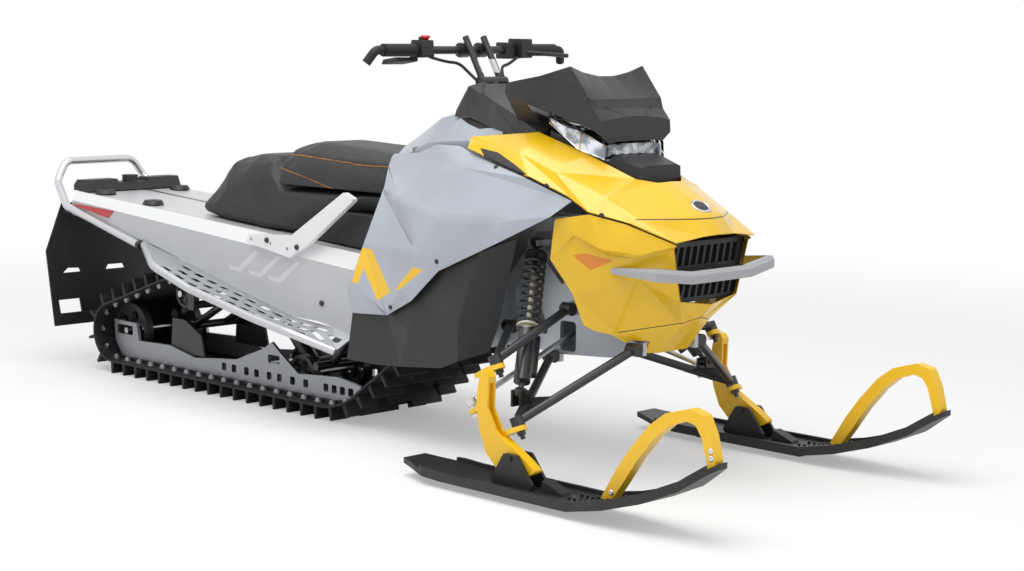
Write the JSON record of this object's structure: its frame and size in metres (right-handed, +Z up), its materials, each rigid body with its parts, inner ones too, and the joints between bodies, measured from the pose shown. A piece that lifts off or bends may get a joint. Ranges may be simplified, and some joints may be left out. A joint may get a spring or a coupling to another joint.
{
  "type": "snowmobile",
  "caption": "Mountain snowmobile: rubber track under a tunnel, two steered skis on double arms, moulded cowling, saddle seat and handlebar.",
  "frame": {"origin": "on the ground below the centre of the overall box", "axes": "+X forward, +Y to the rider's left, +Z up"},
  "size_m": [3.045, 1.052, 1.1012],
  "materials": {
    "body_grey": "painted",
    "yellow": "glossy",
    "black_plastic": "matte",
    "dark_plastic": "satin",
    "rubber": "moulded",
    "white_metal": "painted",
    "silver": "brushed",
    "casting": "cast",
    "black_metal": "powder coat",
    "yellow_metal": "painted",
    "seat": "vinyl",
    "lens": "clear",
    "red_lens": "clear",
    "spring": "powder coat"
  },
  "bodies": {
    "chassis": {"console": "dark_plastic", "drive_axle": "black_metal", "engine": "casting", "frame_braces": "white_metal", "front_bumper": "silver", "front_frame": "casting", "grilles": "black_plastic", "headlamp_bezel": "black_plastic", "headlamp_lens": "lens", "headlamps": "silver", "hood": "yellow", "hood_vents": "black_plastic", "lower_arms": "black_metal", "lower_panels": "black_plastic", "nose": "yellow", "panel_rivets": "black_plastic", "post_bearing": "black_plastic", "rear_bumper": "silver", "running_boards": "white_metal", "seat_base": "seat", "seat_cushion": "seat", "shock_springs": "spring", "shocks": "black_metal", "side_panels": "body_grey", "side_reflectors": "red_lens", "slide_rails": "silver", "snow_flap": "black_plastic", "suspension_arms": "black_metal", "tail_housing": "black_plastic", "tail_light": "red_lens", "tank_cover": "body_grey", "track": "rubber", "track_shock": "black_metal", "track_wheels": "dark_plastic", "tunnel": "white_metal", "tunnel_fittings": "black_plastic", "upper_arms": "black_metal", "wear_strips": "black_plastic", "wheel_axles": "silver", "windshield": "dark_plastic"},
    "bars": {"steering_post": "black_metal", "handlebar": "black_metal", "grips": "rubber", "controls": "black_plastic"},
    "spindle_left": {"spindle_left": "yellow_metal"},
    "tie_rod_left": {"tie_rod_left": "silver"},
    "ski_left": {"ski_left": "black_plastic", "ski_loop_left": "yellow_metal"},
    "spindle_right": {"spindle_right": "yellow_metal"},
    "tie_rod_right": {"tie_rod_right": "silver"},
    "ski_right": {"ski_right": "black_plastic", "ski_loop_right": "yellow_metal"}
  },
  "joints": [
    {"name": "steering", "type": "hinge", "parent": "chassis", "child": "bars", "pos_m": [0.28992, 0, 1.0742], "axis": [-0.5075, 0, 0.8616], "range_deg": [-32, 32]},
    {"name": "ski_steer_left", "type": "hinge", "parent": "chassis", "child": "spindle_left", "pos_m": [0.8625, 0.41702, 0.17598], "axis": [-0.4767, 0, 0.8791], "range_deg": [-25.6, 25.6]},
    {"name": "tie_rod_left", "type": "hinge", "parent": "spindle_left", "child": "tie_rod_left", "pos_m": [0.73449, 0.436, 0.186], "axis": [-0.4767, 0, 0.8791], "range_deg": [-25.6, 25.6]},
    {"name": "ski_pitch_left", "type": "hinge", "parent": "spindle_left", "child": "ski_left", "pos_m": [0.8985, 0.45, 0.10002], "axis": [0, -1, 0], "range_deg": [-12, 15]},
    {"name": "ski_steer_right", "type": "hinge", "parent": "chassis", "child": "spindle_right", "pos_m": [0.8625, -0.41702, 0.17598], "axis": [-0.4767, 0, 0.8791], "range_deg": [-25.6, 25.6]},
    {"name": "tie_rod_right", "type": "hinge", "parent": "spindle_right", "child": "tie_rod_right", "pos_m": [0.73449, -0.436, 0.186], "axis": [-0.4767, 0, 0.8791], "range_deg": [-25.6, 25.6]},
    {"name": "ski_pitch_right", "type": "hinge", "parent": "spindle_right", "child": "ski_right", "pos_m": [0.8985, -0.45, 0.10002], "axis": [0, -1, 0], "range_deg": [-12, 15]}
  ],
  "couplings": [
    {"joint": "ski_steer_left", "follows": "steering", "ratio": 0.8},
    {"joint": "tie_rod_left", "follows": "steering", "ratio": -0.8},
    {"joint": "ski_steer_right", "follows": "steering", "ratio": 0.8},
    {"joint": "tie_rod_right", "follows": "steering", "ratio": -0.8}
  ]
}
